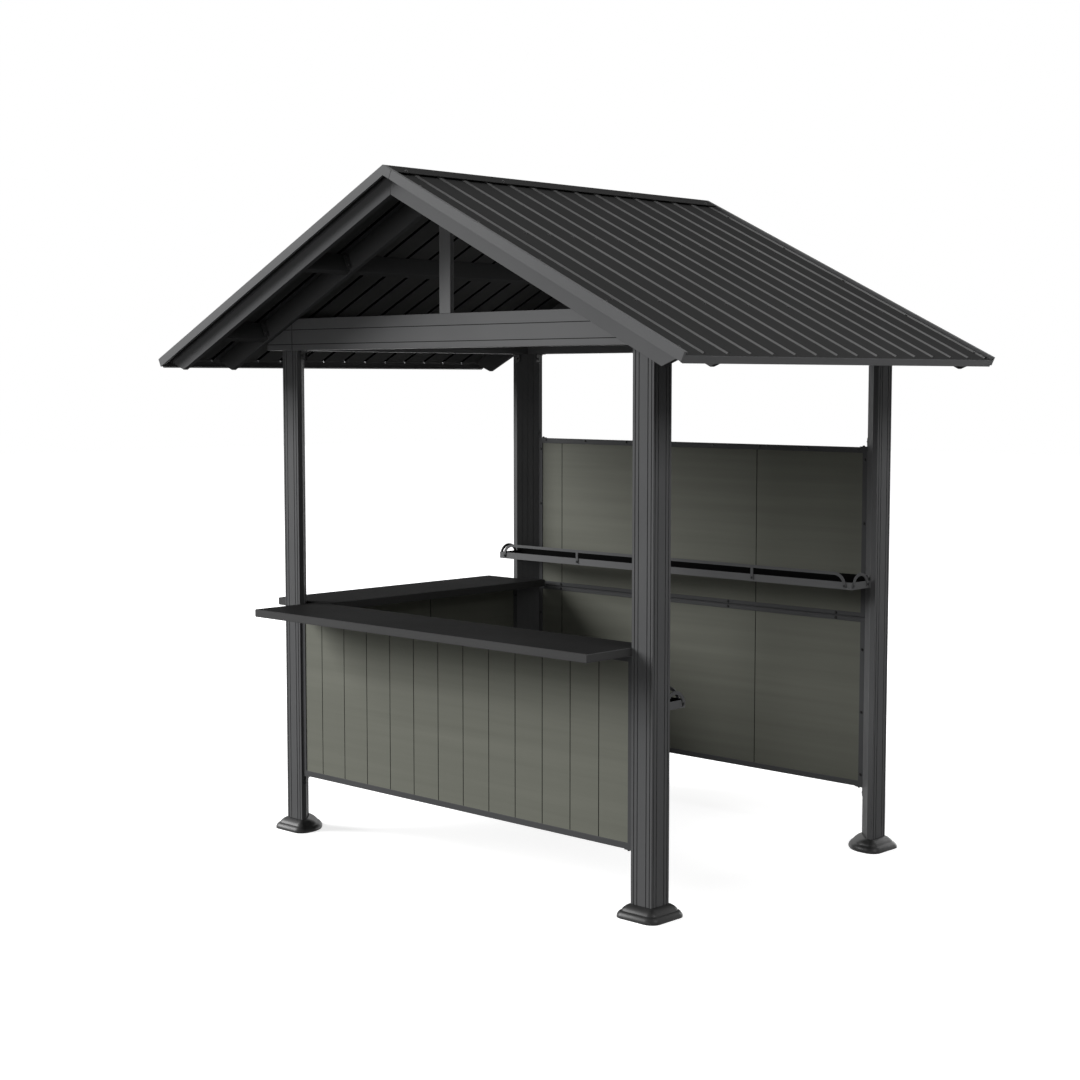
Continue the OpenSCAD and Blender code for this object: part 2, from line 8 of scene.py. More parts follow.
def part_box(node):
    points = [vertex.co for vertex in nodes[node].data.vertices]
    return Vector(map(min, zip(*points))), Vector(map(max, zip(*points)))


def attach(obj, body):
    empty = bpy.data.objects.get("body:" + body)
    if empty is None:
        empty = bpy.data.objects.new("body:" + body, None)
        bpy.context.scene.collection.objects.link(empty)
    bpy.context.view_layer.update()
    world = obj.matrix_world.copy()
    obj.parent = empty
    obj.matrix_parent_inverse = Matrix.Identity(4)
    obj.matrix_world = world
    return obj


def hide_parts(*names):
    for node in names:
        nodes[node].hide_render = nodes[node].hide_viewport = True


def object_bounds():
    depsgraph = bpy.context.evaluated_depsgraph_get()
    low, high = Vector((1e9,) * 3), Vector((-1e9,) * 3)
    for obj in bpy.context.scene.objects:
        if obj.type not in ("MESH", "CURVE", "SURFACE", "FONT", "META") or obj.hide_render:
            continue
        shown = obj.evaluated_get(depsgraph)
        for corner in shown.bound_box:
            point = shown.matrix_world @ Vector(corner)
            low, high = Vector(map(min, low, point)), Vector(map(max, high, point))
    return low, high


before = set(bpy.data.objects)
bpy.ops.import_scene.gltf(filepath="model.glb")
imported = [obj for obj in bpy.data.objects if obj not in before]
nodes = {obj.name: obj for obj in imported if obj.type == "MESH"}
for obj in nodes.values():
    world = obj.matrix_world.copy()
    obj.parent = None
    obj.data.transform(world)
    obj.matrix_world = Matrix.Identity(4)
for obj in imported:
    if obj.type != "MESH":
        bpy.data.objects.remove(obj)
cad_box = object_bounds()


# Corner posts: aluminium extrusions with a diagonal inner face and fine flutes, sawn to length and
# powder coated charcoal. The die leaves every outer edge slightly rounded, so each post is shown as
# a copy of its solid with those edges eased.
def new_piece(name, mesh_builder, material):
    mesh = bpy.data.meshes.new(name)
    mesh_builder.to_mesh(mesh)
    mesh_builder.free()
    mesh.materials.append(material)
    piece = bpy.data.objects.new(name, mesh)
    bpy.context.scene.collection.objects.link(piece)
    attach(piece, "root")
    return piece


merge_distance = 0.00002


def eased(node, radius, material, segments=2):
    flat_angle = math.radians(0.5)
    edge_angle = math.radians(30)
    room = 3 * radius
    bm = bmesh.new()
    bm.from_mesh(nodes[node].data)
    bmesh.ops.remove_doubles(bm, verts=bm.verts, dist=merge_distance)
    bmesh.ops.dissolve_limit(bm, angle_limit=flat_angle, verts=bm.verts, edges=bm.edges)
    outer_edges = [
        edge for edge in bm.edges
        if edge.is_manifold and edge.is_convex and edge.calc_face_angle() > edge_angle
        and all(face.calc_area() > room * edge.calc_length() for face in edge.link_faces)]
    bmesh.ops.bevel(
        bm, geom=outer_edges, offset=radius, offset_type="OFFSET", segments=segments,
        profile=0.5, affect="EDGES", clamp_overlap=True, material=-1)
    piece = new_piece(node + "_finished", bm, material)
    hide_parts(node)
    return piece


def node_of(owner, kind, **values):
    node = owner.node_tree.nodes.new(kind)
    for name, value in values.items():
        if name in node.inputs:
            node.inputs[name].default_value = value
        else:
            setattr(node, name, value)
    return node


def scaled_noise(material, stretch, scale, detail):
    place = node_of(material, "ShaderNodeTexCoord")
    mapping = node_of(material, "ShaderNodeMapping", Scale=stretch)
    noise = node_of(material, "ShaderNodeTexNoise", Scale=scale, Detail=detail)
    link = material.node_tree.links.new
    link(place.outputs["Object"], mapping.inputs["Vector"])
    link(mapping.outputs["Vector"], noise.inputs["Vector"])
    return noise.outputs["Fac"]


def two_tone(material, factor, dark, light):
    dark_until, light_from = 0.3, 0.7
    ramp = node_of(material, "ShaderNodeValToRGB")
    ramp.color_ramp.elements[0].position = dark_until
    ramp.color_ramp.elements[0].color = (*dark, 1)
    ramp.color_ramp.elements[1].position = light_from
    ramp.color_ramp.elements[1].color = (*light, 1)
    material.node_tree.links.new(factor, ramp.inputs["Fac"])
    return ramp.outputs["Color"]


every_way = (1, 1, 1)


def powder_coat(
        name, dark, light, roughness, shine=0.04, cloud_scale=2.5, peel_scale=700, peel_depth=0.0002):
    sheen_swing = 0.05
    sheen_scale = 8 * cloud_scale
    material = bpy.data.materials.new(name)
    material.use_nodes = True
    shader = material.node_tree.nodes["Principled BSDF"]
    shader.inputs["Specular IOR Level"].default_value = shine
    link = material.node_tree.links.new
    cloud = scaled_noise(material, every_way, cloud_scale, detail=4)
    link(two_tone(material, cloud, dark, light), shader.inputs["Base Color"])
    sheen = node_of(material, "ShaderNodeMapRange", **{
        "To Min": roughness - sheen_swing, "To Max": roughness + sheen_swing})
    link(scaled_noise(material, every_way, sheen_scale, detail=3), sheen.inputs["Value"])
    link(sheen.outputs["Result"], shader.inputs["Roughness"])
    peel = node_of(material, "ShaderNodeBump", Strength=0.25, Distance=peel_depth)
    link(scaled_noise(material, every_way, peel_scale, detail=2), peel.inputs["Height"])
    link(peel.outputs["Normal"], shader.inputs["Normal"])
    return material


# The posts' coat is a shade darker than the beams', partly as painted shade.
shaded_post_coat = powder_coat("shaded_post_coat", (0.104, 0.105, 0.107), (0.116, 0.117, 0.119), 0.5)
post_edge = 0.0025
for post in ("front_left_post", "front_right_post", "back_left_post", "back_right_post"):
    eased(post, post_edge, shaded_post_coat, segments=3)


# Feet: each post stands on a galvanised anchor plate, hidden by a moulded plastic cover that is
# slid down the post. The plate shows a zinc spangle, the cover a fine moulded grain.
galvanised = bpy.data.materials.new("galvanised_steel")
galvanised.use_nodes = True
zinc = galvanised.node_tree.nodes["Principled BSDF"]
zinc.inputs["Metallic"].default_value = 0.9
zinc.inputs["Roughness"].default_value = 0.42
spangle = node_of(galvanised, "ShaderNodeTexVoronoi", Scale=120)
galvanised.node_tree.links.new(
    node_of(galvanised, "ShaderNodeTexCoord").outputs["Object"], spangle.inputs["Vector"])
galvanised.node_tree.links.new(
    two_tone(galvanised, spangle.outputs["Distance"], (0.36, 0.37, 0.38), (0.52, 0.53, 0.54)),
    zinc.inputs["Base Color"])
for place in nodes["anchor_plates"].material_slots:
    place.material = galvanised

cover_plastic = powder_coat(
    "cover_plastic", (0.014, 0.014, 0.014), (0.018, 0.018, 0.018), 0.4, shine=0.24,
    peel_scale=1400, peel_depth=0.00005)
post_low, post_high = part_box("front_right_post")
post_width, post_return = post_high.x - post_low.x, 0.024
outer_x, front_y = post_high.x, post_low.y
back_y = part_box("back_right_post")[1].y
cover_height, cover_reach, cover_wall, cover_fit = 0.050, 0.050, 0.003, 0.0003
lip_height, waist_height, waist_reach, waist_step = 0.006, 0.027, 0.033, 0.0015
upper_fullness, lower_fullness = 1.5, 1.3
inner_share, round_share, least_round = 0.8, 0.8, 0.003
cover_crease = math.radians(50)


def bulge(high, low, fullness):
    # Points of a swelling, level at its upper end and upright at its lower end.
    steps = 5
    for k in range(steps + 1):
        turn = math.pi / 2 * k / steps
        yield (
            low[0] + (high[0] - low[0]) * math.cos(turn) ** fullness,
            high[1] + (low[1] - high[1]) * math.sin(turn) ** fullness)


def cover_profile():
    # Height and reach beyond the post, down the outside and up the inside.
    collar = cover_wall + cover_fit
    inside = 2 * cover_wall
    return [
        *bulge((cover_height, collar), (waist_height, waist_reach), upper_fullness),
        *bulge(
            (waist_height - waist_step, waist_reach + waist_step), (lip_height, cover_reach), lower_fullness),
        (0, cover_reach), (0, cover_reach - inside), (waist_height - inside, waist_reach - inside),
        (cover_height - cover_wall, cover_fit)]


def cover_ring(bm, height, reach):
    far, near = post_width + reach, post_return + inner_share * reach
    plan = ((-reach, -reach), (far, -reach), (far, near), (near, far), (-reach, far))
    before = set(bm.edges)
    outline = bm.faces.new([bm.verts.new((x, y, height)) for x, y in plan])
    bmesh.ops.bevel(
        bm, geom=outline.verts[:], offset=least_round + round_share * reach, offset_type="OFFSET",
        segments=6, profile=0.5, affect="VERTICES", clamp_overlap=True, material=-1)
    bmesh.ops.delete(bm, geom=bm.faces[:], context="FACES_ONLY")
    return [edge for edge in bm.edges if edge not in before]


for corner, side, end, inward in (
        ("front_left", -1, front_y, 1), ("front_right", 1, front_y, 1),
        ("back_left", -1, back_y, -1), ("back_right", 1, back_y, -1)):
    cover = bmesh.new()
    rings = [cover_ring(cover, height, reach) for height, reach in cover_profile()]
    for ring, following in zip(rings, rings[1:] + rings[:1]):
        bmesh.ops.bridge_loops(cover, edges=ring + following)
    bmesh.ops.transform(
        cover, verts=cover.verts,
        matrix=Matrix.Translation((side * outer_x, end, 0)) @ Matrix.Diagonal((-side, inward, 1, 1)))
    bmesh.ops.recalc_face_normals(cover, faces=cover.faces)
    for face in cover.faces:
        face.smooth = True
    for edge in cover.edges:
        edge.smooth = edge.calc_face_angle() < cover_crease
    piece = new_piece(corner + "_base_cover_finished", cover, cover_plastic)
    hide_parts(corner + "_base_cover")


# Ring beams: box extrusions with two fine grooves along the outer face. The gable beams run past the
# posts and the side beams butt between them. Their coat is a shade lighter than the posts'.
def shade_grooves(piece, axis, reach, material):
    # Faces that lie a little inside the outer planes are the floors and walls of grooves; they take the given
    # coat, painted near black as shade.
    piece.data.materials.append(material)
    places = [vertex.co[axis] for vertex in piece.data.vertices]
    low, high = min(places), max(places)
    skin = 0.0003
    for polygon in piece.data.polygons:
        depth = min(polygon.center[axis] - low, high - polygon.center[axis])
        if skin < depth < reach:
            polygon.material_index = 1


charcoal_coat = powder_coat("charcoal_coat", (0.128, 0.129, 0.131), (0.142, 0.143, 0.145), 0.5)
# Near black coat painted into grooves as shade; the rake trims' seam lines take it too.
groove_shade_and_seam_coat = powder_coat("groove_shade_and_seam_coat", (0.014, 0.014, 0.014), (0.018, 0.018, 0.018), 0.7)
beam_edge, beam_groove = 0.003, 0.0022
for beam, axis in (("front_beam", 1), ("back_beam", 1), ("left_beam", 0), ("right_beam", 0)):
    # The floors and walls of the two grooves are painted near black as shade.
    shade_grooves(eased(beam, beam_edge, charcoal_coat), axis, beam_groove, groove_shade_and_seam_coat)


# Beam brackets: small steel angles under the beams that hold them to the posts, one each way at every
# post, with a bolt through each leg.
black_steel = bpy.data.materials.new("black_steel")
black_steel.use_nodes = True
black_shader = black_steel.node_tree.nodes["Principled BSDF"]
black_shader.inputs["Specular IOR Level"].default_value = 0.2
black_shader.inputs["Roughness"].default_value = 0.45
oxide = scaled_noise(black_steel, every_way, 90, detail=3)
black_steel.node_tree.links.new(
    two_tone(black_steel, oxide, (0.012, 0.012, 0.012), (0.022, 0.022, 0.022)),
    black_shader.inputs["Base Color"])


def folded_angle(bm, place, leg, width, thickness):
    outline = ((0, 0), (leg, 0), (leg, thickness), (thickness, thickness), (thickness, leg), (0, leg))
    ring = [bm.verts.new((x, -width / 2, z)) for x, z in outline]
    end = bm.faces.new(ring)
    pulled = bmesh.ops.extrude_face_region(bm, geom=[end])["geom"]
    far = [item for item in pulled if isinstance(item, bmesh.types.BMVert)]
    bmesh.ops.translate(bm, verts=far, vec=(0, width, 0))
    bmesh.ops.transform(bm, verts=ring + far, matrix=place)
    sides = {face for vert in ring + far for face in vert.link_faces}
    bmesh.ops.recalc_face_normals(bm, faces=list(sides))


def hex_heads(bm, places, radius, height):
    washer, rim, shoulder, crown = 0.25 * height, 1.45 * radius, 1.3 * radius, 0.9 * radius
    for point, outward in places:
        seat = Matrix.Translation(point) @ Vector(outward).to_track_quat("Z", "Y").to_matrix().to_4x4()
        bmesh.ops.create_cone(
            bm, cap_ends=True, segments=12, radius1=rim, radius2=shoulder, depth=washer,
            matrix=seat @ Matrix.Translation((0, 0, washer / 2)))
        bmesh.ops.create_cone(
            bm, cap_ends=True, segments=6, radius1=radius, radius2=crown, depth=height - washer,
            matrix=seat @ Matrix.Translation((0, 0, (height + washer) / 2)))


bracket_leg, bracket_width, bracket_thickness = 0.040, 0.026, 0.003
bolt_radius, bolt_height = 0.0055, 0.005
beam_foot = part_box("front_beam")[0].z
bracket_in = 0.030
bolt_along = 0.6 * bracket_leg
brackets = bmesh.new()
bracket_bolts = []
for side in (-1, 1):
    for end_y, inward in ((front_y, 1), (back_y, -1)):
        for face, along in (
                (Vector((side * (outer_x - post_width), end_y + inward * bracket_in, beam_foot)),
                 Vector((-side, 0, 0))),
                (Vector((side * (outer_x - bracket_in), end_y + inward * post_width, beam_foot)),
                 Vector((0, inward, 0)))):
            turn = Matrix((along, Vector((0, 0, -1)).cross(along), (0, 0, -1))).transposed().to_4x4()
            folded_angle(
                brackets, Matrix.Translation(face) @ turn, bracket_leg, bracket_width, bracket_thickness)
            bracket_bolts.append((face + along * bolt_along - Vector((0, 0, bracket_thickness)), (0, 0, -1)))
            bracket_bolts.append((face + along * bracket_thickness - Vector((0, 0, bolt_along)), along))
hex_heads(brackets, bracket_bolts, bolt_radius, bolt_height)
new_piece("beam_brackets", brackets, black_steel)


# Trusses and purlins: folded steel bars bolted to each other and to the beams. Their folds are tighter
# than the edges of the extrusions and their coat is matt. The king posts are painted a shade lighter as
# painted light.
fold_edge = 0.002
truss_coat = powder_coat("truss_coat", (0.128, 0.129, 0.131), (0.142, 0.143, 0.145), 0.8, shine=0)
for bar in ("fly_rafter_left", "fly_rafter_right", "front_rafter_left", "front_rafter_right",
            "back_rafter_left", "back_rafter_right", "ridge_beam", "left_purlins", "right_purlins"):
    eased(bar, fold_edge, truss_coat)
# The king posts' coat is the truss charcoal painted lighter, as painted light.
lit_king_coat = powder_coat("lit_king_coat", (0.175, 0.176, 0.178), (0.193, 0.194, 0.196), 0.6)
for bar in ("front_king_post", "back_king_post"):
    eased(bar, fold_edge, lit_king_coat)


# Purlin cleats: thin steel tabs on the purlins of the front bay, where these meet the rafters. Each is
# held by two bolts and coated like the trusses.
ridge_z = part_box("ridge_cap")[1].z
side_beam_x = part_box("right_beam")[1].x
roof_heel = 0.024
pitch = math.atan((ridge_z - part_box("front_beam")[1].z - roof_heel) / side_beam_x)
skin_depth = 0.0150


def on_roof(side, down, y, out):
    return Vector((
        side * (down * math.cos(pitch) + out * math.sin(pitch)), y,
        ridge_z - down * math.sin(pitch) + out * math.cos(pitch)))


def roof_normal(side):
    return Vector((side * math.sin(pitch), 0, math.cos(pitch)))


def slope_turn(side):
    # Turns x down the slope and z out of the roof.
    down_slope = (side * math.cos(pitch), 0, -math.sin(pitch))
    return Matrix((down_slope, (0, side, 0), roof_normal(side))).transposed().to_4x4()


cleat_width, cleat_height, cleat_thickness = 0.026, 0.066, 0.002
purlin_half, purlin_depth = 0.015, 0.080
purlin_past_post = 0.066
upper_purlin_x, lower_purlin_x = 0.577, outer_x + purlin_past_post
cleat_bolt_rise = 0.3 * cleat_height
fly_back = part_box("fly_rafter_left")[1].y
truss_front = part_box("front_rafter_left")[0].y
cleats = bmesh.new()
cleat_bolts = []
for side in (-1, 1):
    for x in (upper_purlin_x, lower_purlin_x):
        down = (x + purlin_depth / 2 * math.sin(pitch)) / math.cos(pitch) - skin_depth * math.tan(pitch)
        for y, inward in ((fly_back, 1), (truss_front, -1)):
            middle = on_roof(
                side, down - purlin_half - cleat_thickness / 2, y + inward * cleat_width / 2,
                -skin_depth - purlin_depth / 2)
            tab = Matrix.Translation(middle) @ slope_turn(side)
            bmesh.ops.create_cube(
                cleats, size=1, matrix=tab @ Matrix.Diagonal((cleat_thickness, cleat_width, cleat_height, 1)))
            for rise in (-cleat_bolt_rise, cleat_bolt_rise):
                cleat_bolts.append((
                    tab @ Vector((-cleat_thickness / 2, 0, rise)), slope_turn(side) @ Vector((-1, 0, 0))))
hex_heads(cleats, cleat_bolts, bolt_radius, bolt_height)
new_piece("purlin_cleats", cleats, truss_coat)


# Roof sheets: steel pressed into narrow ribs from ridge to eave and coated dark charcoal, with a
# faint change of tone along the slope. The sides of the ribs are painted lighter as a highlight and the
# channels under them near black as shade. Rows of self-drilling screws hold them down in front of each
# rib, and their tips show bright under the eaves.
def plain_copy(node, material):
    bm = bmesh.new()
    bm.from_mesh(nodes[node].data)
    bmesh.ops.remove_doubles(bm, verts=bm.verts, dist=merge_distance)
    for face in bm.faces:
        face.smooth = False
    piece = new_piece(node + "_finished", bm, material)
    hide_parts(node)
    return piece


roof_coat = powder_coat(
    "roof_coat", (0.052, 0.052, 0.052), (0.060, 0.060, 0.060), 0.7, shine=0.001, cloud_scale=1.2)
# Rib sides are painted lighter than the pans as a highlight.
rib_highlight_coat = powder_coat("rib_highlight_coat", (0.180, 0.180, 0.180), (0.205, 0.205, 0.205), 0.6, shine=0.01)
backer_coat = powder_coat("backer_coat", (0.130, 0.130, 0.130), (0.148, 0.148, 0.148), 0.7, shine=0.001)
# The channels under the ribs are painted near black as shade.
channel_shade_coat = powder_coat("channel_shade_coat", (0.003, 0.003, 0.003), (0.005, 0.005, 0.005), 0.8, shine=0)
rib_highlight_paint, backer_paint, channel_shade_paint = 1, 2, 3
pan_depth = 0.0135
rib_share = 0.5
ridge_line = Vector((0, 0, ridge_z))
roof_front, roof_back = cad_box[0].y, cad_box[1].y
sheet_margin, channel_start = 0.010, 0.001
half_sheet = roof_back - sheet_margin
steep, tilted = 0.5, 0.05
for sheet, side in (("roof_sheet_left", -1), ("roof_sheet_right", 1)):
    piece = plain_copy(sheet, roof_coat)
    for coat in (rib_highlight_coat, backer_coat, channel_shade_coat):
        piece.data.materials.append(coat)
    for polygon in piece.data.polygons:
        facing = polygon.normal
        if abs(facing.y) > steep and facing.z > tilted and abs(polygon.center.y) < half_sheet:
            polygon.material_index = rib_highlight_paint
        elif facing.z < -tilted:
            sunk = (polygon.center - ridge_line).dot(roof_normal(side)) + skin_depth
            polygon.material_index = backer_paint if sunk < channel_start else channel_shade_paint
    # The ribs are shown at a share of the solid's height.
    for vertex in piece.data.vertices:
        rise = (vertex.co - ridge_line).dot(roof_normal(side)) + pan_depth
        if rise > 0:
            vertex.co -= (1 - rib_share) * rise * roof_normal(side)

rib_pitch, first_rib = 0.130, 0.134
rib_count = int((roof_back - roof_front - first_rib) / rib_pitch)
rib_lines = [roof_front + first_rib + k * rib_pitch for k in range(rib_count)]
screw_lead = 0.030
screw_radius, screw_height = 0.0048, 0.0045
row_downs = (0.604, 1.210)
rake_screw_in = 0.052
rake_screw_ys = (roof_front + rake_screw_in, roof_back - rake_screw_in)
rake_screw_downs = (0.180, 0.528, 0.880, 1.235, 1.600)
roof_screws = bmesh.new()
for side in (-1, 1):
    places = [
        (on_roof(side, down, y - screw_lead, -pan_depth), roof_normal(side))
        for down in row_downs for y in rib_lines]
    places += [
        (on_roof(side, down, y, -pan_depth), roof_normal(side))
        for down in rake_screw_downs for y in rake_screw_ys]
    hex_heads(roof_screws, places, screw_radius, screw_height)
new_piece("roof_screws", roof_screws, black_steel)

trim_thickness, rib_base, rib_crown = 0.0015, 0.020, 0.010
eave_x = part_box("eave_trim_right")[1].x
eave_down = (
    (eave_x - (skin_depth - pan_depth) * math.sin(pitch)) / math.cos(pitch) + skin_depth * math.tan(pitch))
nose_back, nose_front = 0.0178, 0.002
nose_start, nose_end = eave_down - nose_back, eave_down - nose_front
rib_top = -pan_depth + rib_share * (pan_depth - trim_thickness)
rib_noses = bmesh.new()
for side in (-1, 1):
    for y in rib_lines:
        corners = [(nose_start, half, -pan_depth) for half in (-rib_base / 2, rib_base / 2)]
        corners += [(nose_start, half, rib_top) for half in (-rib_crown / 2, rib_crown / 2)]
        corners += [(nose_end, half, -pan_depth) for half in (-rib_base / 2, rib_base / 2)]
        bmesh.ops.convex_hull(rib_noses, input=[
            rib_noses.verts.new(on_roof(side, down, y + half, out)) for down, half, out in corners])
new_piece("rib_noses", rib_noses, roof_coat)

bright_zinc = bpy.data.materials.new("bright_zinc")
bright_zinc.use_nodes = True
tip_shader = bright_zinc.node_tree.nodes["Principled BSDF"]
tip_shader.inputs["Metallic"].default_value = 1.0
tip_shader.inputs["Roughness"].default_value = 0.3
plating = scaled_noise(bright_zinc, every_way, 400, detail=2)
bright_zinc.node_tree.links.new(
    two_tone(bright_zinc, plating, (0.55, 0.56, 0.57), (0.70, 0.71, 0.72)),
    tip_shader.inputs["Base Color"])
tip_inset, tip_out = 0.029, 0.0165
tip_radius, tip_length = 0.0045, 0.008
tip_end = 0.55 * tip_radius
screw_tips = bmesh.new()
for side in (-1, 1):
    for y in rib_lines:
        root = on_roof(side, eave_down - tip_inset, y, -tip_out)
        turn = (-roof_normal(side)).to_track_quat("Z", "Y").to_matrix().to_4x4()
        bmesh.ops.create_cone(
            screw_tips, cap_ends=True, segments=10, radius1=tip_radius, radius2=tip_end, depth=tip_length,
            matrix=Matrix.Translation(root) @ turn @ Matrix.Translation((0, 0, tip_length / 2)))
new_piece("eave_screw_tips", screw_tips, bright_zinc)


# Ridge cap and trims: folded steel strips that close the edges of the sheets. The cap is screwed down
# over the ribs, the rake trims wrap the gable edges and the eave trims stiffen the lower edges.
for place in nodes["ridge_cap"].material_slots:
    place.material = roof_coat
for trim in ("front_rake_trim_left", "front_rake_trim_right", "back_rake_trim_left",
             "back_rake_trim_right", "eave_trim_left", "eave_trim_right"):
    for place in nodes[trim].material_slots:
        place.material = charcoal_coat
seam_down, seam_width, seam_proud = 0.0553, 0.0016, 0.0003
trim_height = 0.036
seam_size = Matrix.Diagonal((seam_width, 2 * seam_proud, trim_height, 1))
seams = bmesh.new()
for y in (roof_front, roof_back):
    middle = on_roof(1, seam_down, y, -trim_height / 2)
    bmesh.ops.create_cube(seams, size=1, matrix=Matrix.Translation(middle) @ slope_turn(1) @ seam_size)
# The seam lines where the rake trims join are drawn in the same near black coat.
new_piece("rake_seams", seams, groove_shade_and_seam_coat)

# Thin dark strips on the front fly rafters just under the rake trims, painted as the trims' shadow.
trim_shadow_coat = powder_coat("trim_shadow_coat", (0.070, 0.070, 0.071), (0.082, 0.082, 0.083), 0.7)
shadow_line_width, shadow_line_proud = 0.002, 0.0003
rafter_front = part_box("fly_rafter_left")[0].y
shadow_line_short = 0.030
shadow_line_start, shadow_line_end = 0.080, eave_down - shadow_line_short
shadow_line_size = Matrix.Diagonal((shadow_line_end - shadow_line_start, 2 * shadow_line_proud, shadow_line_width, 1))
trim_shadow_lines = bmesh.new()
for side in (-1, 1):
    middle = on_roof(side, (shadow_line_start + shadow_line_end) / 2, rafter_front, -trim_height - shadow_line_width / 2)
    bmesh.ops.create_cube(trim_shadow_lines, size=1, matrix=Matrix.Translation(middle) @ slope_turn(side) @ shadow_line_size)
new_piece("rake_shadow_lines", trim_shadow_lines, trim_shadow_coat)

cap_screw_down, cap_screw_ys = 0.052, (-0.918, -0.390, 0.390, 0.918)
cap_screws = bmesh.new()
for side in (-1, 1):
    hex_heads(
        cap_screws,
        [(on_roof(side, cap_screw_down, y, 0), roof_normal(side)) for y in cap_screw_ys],
        screw_radius, screw_height)
new_piece("ridge_cap_screws", cap_screws, black_steel)


# Walls: coated bar frames, fixed to the posts by angles, round composite panels with narrow planks
# outside and wide sheets inside. The frames' coat is darker than the beams' and the inner sheets a shade
# darker than the planks, both partly as painted shade. The olive panels carry a faint level grain.
def grained_composite(name, dark, light):
    material = bpy.data.materials.new(name)
    material.use_nodes = True
    shader = material.node_tree.nodes["Principled BSDF"]
    link = material.node_tree.links.new
    level_grain, level_fibre = (0.5, 0.5, 16), (4, 4, 260)
    grain = scaled_noise(material, level_grain, 1.4, detail=5)
    link(two_tone(material, grain, dark, light), shader.inputs["Base Color"])
    shader.inputs["Roughness"].default_value = 0.62
    shader.inputs["Specular IOR Level"].default_value = 0.1
    fibre = node_of(material, "ShaderNodeBump", Strength=0.2, Distance=0.0003)
    link(scaled_noise(material, level_fibre, 3, detail=3), fibre.inputs["Height"])
    link(fibre.outputs["Normal"], shader.inputs["Normal"])
    return material


# Frame coat darker than the beams', partly as painted shade.
shaded_bar_coat = powder_coat("shaded_bar_coat", (0.072, 0.073, 0.075), (0.082, 0.083, 0.085), 0.5)
plank_coat = grained_composite("plank_coat", (0.152, 0.156, 0.130), (0.177, 0.181, 0.152))
# Inner sheets: the plank composite a shade darker, partly as painted shade.
shaded_sheet_coat = grained_composite("shaded_sheet_coat", (0.122, 0.125, 0.104), (0.142, 0.145, 0.122))
bar_edge, panel_groove = 0.0012, 0.004
plank_paint, shaded_sheet_paint = 0, 2
for wall, inward in (("front_wall", Vector((0, 1, 0))), ("left_wall", Vector((1, 0, 0))),
                     ("back_wall_lower", Vector((0, -1, 0))), ("back_wall_upper", Vector((0, -1, 0)))):
    eased(wall + "_frame", bar_edge, shaded_bar_coat)
    panel = plain_copy(wall + "_panel", plank_coat)
    # The grooves between the planks are painted near black as shade.
    shade_grooves(panel, 0 if wall == "left_wall" else 1, panel_groove, groove_shade_and_seam_coat)
    panel.data.materials.append(shaded_sheet_coat)
    for polygon in panel.data.polygons:
        if polygon.material_index == plank_paint and polygon.normal.dot(inward) > steep:
            polygon.material_index = shaded_sheet_paint


# Wall bolts: the frame bars are bolted round the sheets from inside, at an even pitch along the head
# bar and the stiles and in pairs where the two tiers meet. The angles to the posts have a bolt each way.
wall_bolts = bmesh.new()
wall_bolt_radius, wall_bolt_height = 0.0048, 0.0045
head_bolt_drop, meeting_drop, tier_gap = 0.008, 0.008, 0.006
stile_bolt_in, stile_bolt_drop, bolt_pitch = 0.013, 0.053, 0.272
tall_stile_bolts, low_stile_bolts, head_bolts = 6, 3, 8
meeting_bolt_xs = (-0.817, -0.226, 0.226, 0.817)
lower_low, lower_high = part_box("back_wall_lower_frame")
upper_low, upper_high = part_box("back_wall_upper_frame")
inner_face = upper_low.y
upper_top = upper_high.z - bracket_leg
half_wall = upper_high.x
head_bolt_in = 0.047
head_reach = half_wall - head_bolt_in
stile_x = half_wall - stile_bolt_in
wall_places = [
    ((-head_reach + 2 * head_reach * k / (head_bolts - 1), inner_face, upper_top - head_bolt_drop),
     (0, -1, 0))
    for k in range(head_bolts)]
wall_places += [
    ((side * stile_x, inner_face, upper_top - stile_bolt_drop - k * bolt_pitch), (0, -1, 0))
    for side in (-1, 1) for k in range(tall_stile_bolts)]
wall_places += [
    ((x, inner_face, z), (0, -1, 0)) for x in meeting_bolt_xs
    for z in (upper_low.z + meeting_drop, upper_low.z - tier_gap - meeting_drop)]
left_low, left_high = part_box("left_wall_frame")
wall_places += [
    ((left_high.x, y, left_high.z - stile_bolt_drop - k * bolt_pitch), (1, 0, 0))
    for y in (left_low.y + stile_bolt_in, left_high.y - stile_bolt_in) for k in range(low_stile_bolts)]
front_low, front_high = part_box("front_wall_frame")
wall_places += [
    ((side * stile_x, front_high.y, front_high.z - stile_bolt_drop - k * bolt_pitch), (0, 1, 0))
    for side in (-1, 1) for k in range(low_stile_bolts)]
for low, high, z, upward in (
        (lower_low, lower_high, lower_low.z + bracket_leg, -1),
        (front_low, front_high, front_low.z + bracket_leg, -1),
        (upper_low, upper_high, upper_top, 1)):
    for side in (-1, 1):
        middle = (low.y + high.y) / 2
        wall_places.append((
            (side * (half_wall - bolt_along), middle, z + upward * bracket_thickness), (0, 0, upward)))
        wall_places.append((
            (side * (half_wall - bracket_thickness), middle, z + upward * bolt_along), (-side, 0, 0)))
hex_heads(wall_bolts, wall_places, wall_bolt_radius, wall_bolt_height)
new_piece("wall_bolts", wall_bolts, black_steel)


# Counters: boards of folded steel on the wall tops. The worktops are near black, partly as painted shade,
# their edges a little lighter, and the eased folds between them are painted pale as a thin highlight line.
counter_coat = powder_coat("counter_coat", (0.055, 0.055, 0.055), (0.063, 0.063, 0.063), 0.5, shine=0.06)
